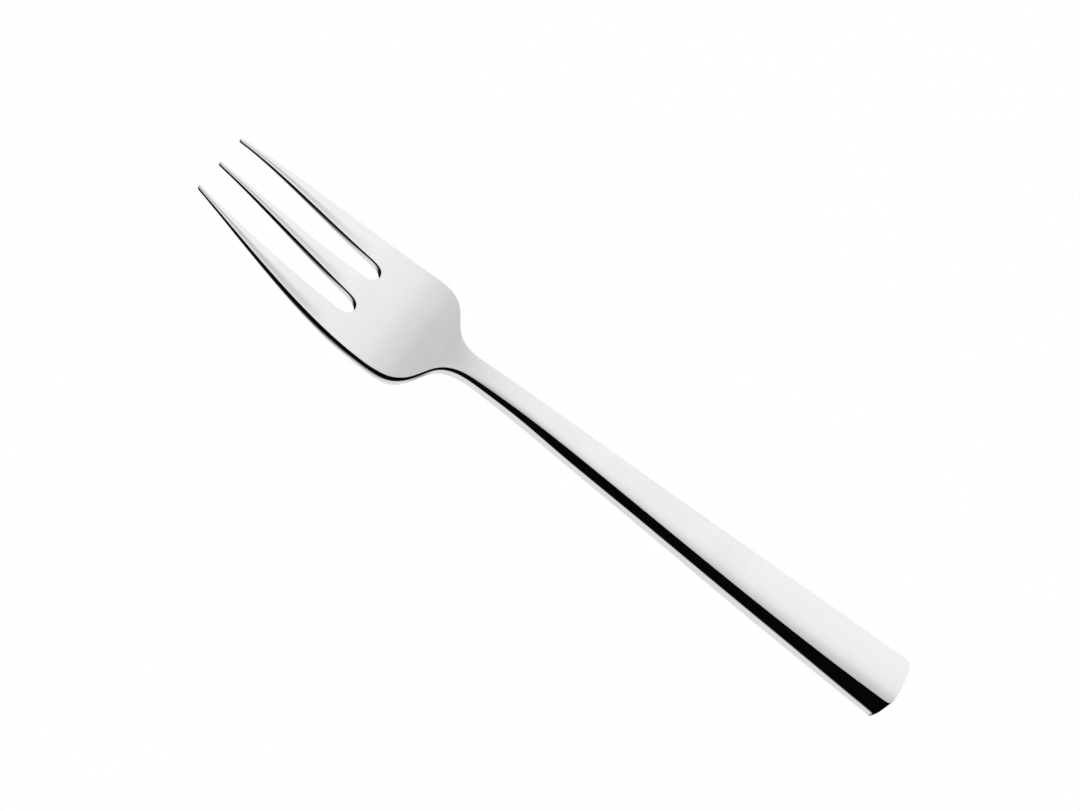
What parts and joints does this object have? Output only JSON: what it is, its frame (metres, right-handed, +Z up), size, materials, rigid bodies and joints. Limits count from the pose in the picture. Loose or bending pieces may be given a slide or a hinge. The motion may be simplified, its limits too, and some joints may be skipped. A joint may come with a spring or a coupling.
{
  "type": "pastry fork",
  "caption": "Forged polished-steel pastry fork: slender tapering tines, round shoulders, slim neck and a heavy square-edged handle that widens to its heel.",
  "frame": {"origin": "on the table plane, under the middle of the fork's length, on its centre line", "axes": "+X from the tine tips to the heel of the handle, +Z up from the table, +Y to the right of a person who holds the handle with the hollow side of the head up"},
  "size_m": [0.15, 0.024, 0.0067],
  "materials": {
    "polished_steel": "mirror-polished stainless steel, without any plating"
  },
  "bodies": {
    "root": {"handle": "polished_steel", "neck": "polished_steel", "palm": "polished_steel", "tine_root": "polished_steel", "left_tine": "polished_steel", "middle_tine": "polished_steel", "right_tine": "polished_steel"}
  },
  "joints": []
}
